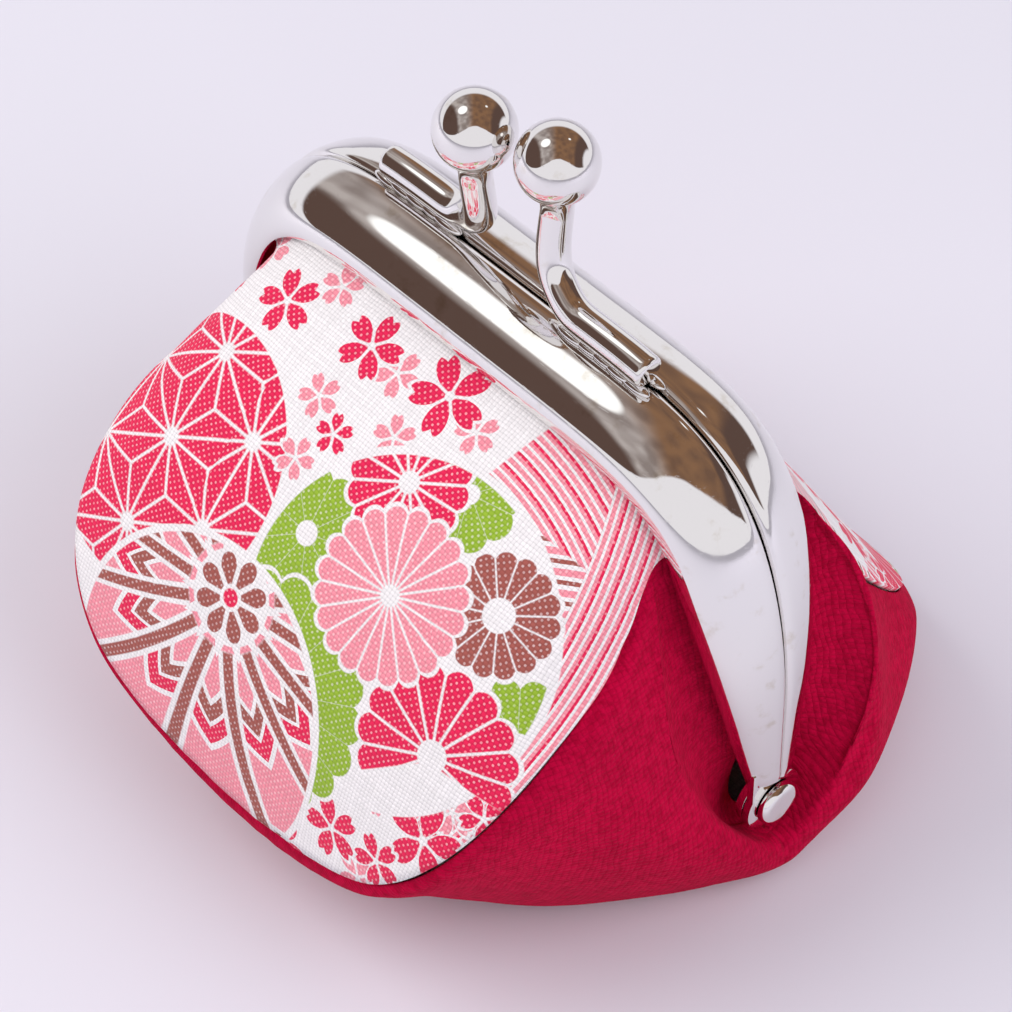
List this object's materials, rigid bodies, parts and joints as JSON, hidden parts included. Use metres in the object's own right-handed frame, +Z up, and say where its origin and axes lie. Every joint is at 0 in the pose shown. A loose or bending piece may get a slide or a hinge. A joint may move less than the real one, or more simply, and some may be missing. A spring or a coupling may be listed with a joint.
{
  "type": "kiss-lock coin purse",
  "caption": "Small cotton coin purse on a hinged metal frame that opens in two halves and shuts by two balls that snap past each other.",
  "frame": {"origin": "on the flat of the bottom, straight under the middle of the hinge axis", "axes": "+Z up, -Y to the front, X along the axis of the two rivets"},
  "size_m": [0.067, 0.0632, 0.0655],
  "materials": {
    "bright_nickel": "polished nickel plate",
    "printed_cotton": "plain-weave cotton, screen printed",
    "crimson_cotton": "plain-weave cotton, dyed crimson",
    "lining_cotton": "thin cotton lining",
    "kraft_paper": "twisted kraft paper cord, matt"
  },
  "bodies": {
    "pouch": {"front_panel": "printed_cotton", "back_panel": "printed_cotton", "gusset": "crimson_cotton", "lining": "lining_cotton"},
    "front_half": {"front_frame": "bright_nickel", "front_clasp": "bright_nickel", "front_paper_cord": "kraft_paper"},
    "back_half": {"back_frame": "bright_nickel", "back_clasp": "bright_nickel", "back_paper_cord": "kraft_paper", "right_rivet": "bright_nickel", "left_rivet": "bright_nickel"}
  },
  "joints": [
    {"name": "front_open", "type": "hinge", "parent": "pouch", "child": "front_half", "pos_m": [0, 0, 0.0096], "axis": [1, 0, 0], "range_deg": [0, 50], "deforming": ["front_panel", "gusset", "lining"]},
    {"name": "back_open", "type": "hinge", "parent": "pouch", "child": "back_half", "pos_m": [0, 0, 0.0096], "axis": [-1, 0, 0], "range_deg": [0, 50], "deforming": ["back_panel", "gusset", "lining"]}
  ]
}
